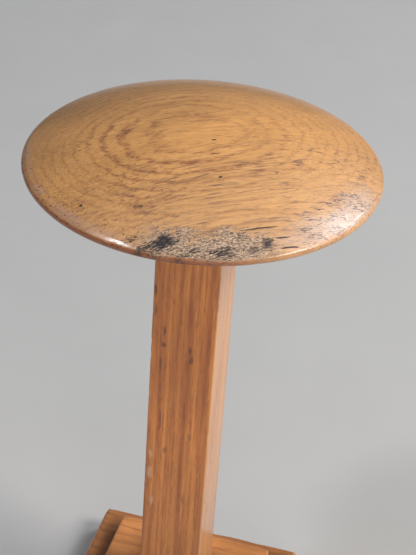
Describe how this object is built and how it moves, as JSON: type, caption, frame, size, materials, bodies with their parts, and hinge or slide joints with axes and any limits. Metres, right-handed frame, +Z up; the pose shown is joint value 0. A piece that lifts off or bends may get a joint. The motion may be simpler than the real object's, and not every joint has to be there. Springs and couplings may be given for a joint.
{
  "type": "hat stand",
  "caption": "Countertop hat stand: a shallow domed round top on a square wooden post, standing on a stepped square plinth.",
  "frame": {"origin": "middle of the flat underside of the lower plinth, where the stand meets the table", "axes": "+Z up along the post; +X and +Y along the sides of the square plinth, and -Y is the front"},
  "size_m": [0.153, 0.153, 0.291],
  "materials": {
    "oak_top": "satin, worn through at the rim",
    "oak_post": "satin",
    "oak_plinth": "satin",
    "dowel": "bare",
    "screw_steel": "dull"
  },
  "bodies": {
    "root": {"mushroom_top": "oak_top", "top_dowel": "dowel", "post": "oak_post", "upper_plinth": "oak_plinth", "lower_plinth": "oak_plinth", "post_screw": "screw_steel", "plinth_screw_front_left": "screw_steel", "plinth_screw_front_right": "screw_steel", "plinth_screw_back_right": "screw_steel", "plinth_screw_back_left": "screw_steel"}
  },
  "joints": []
}
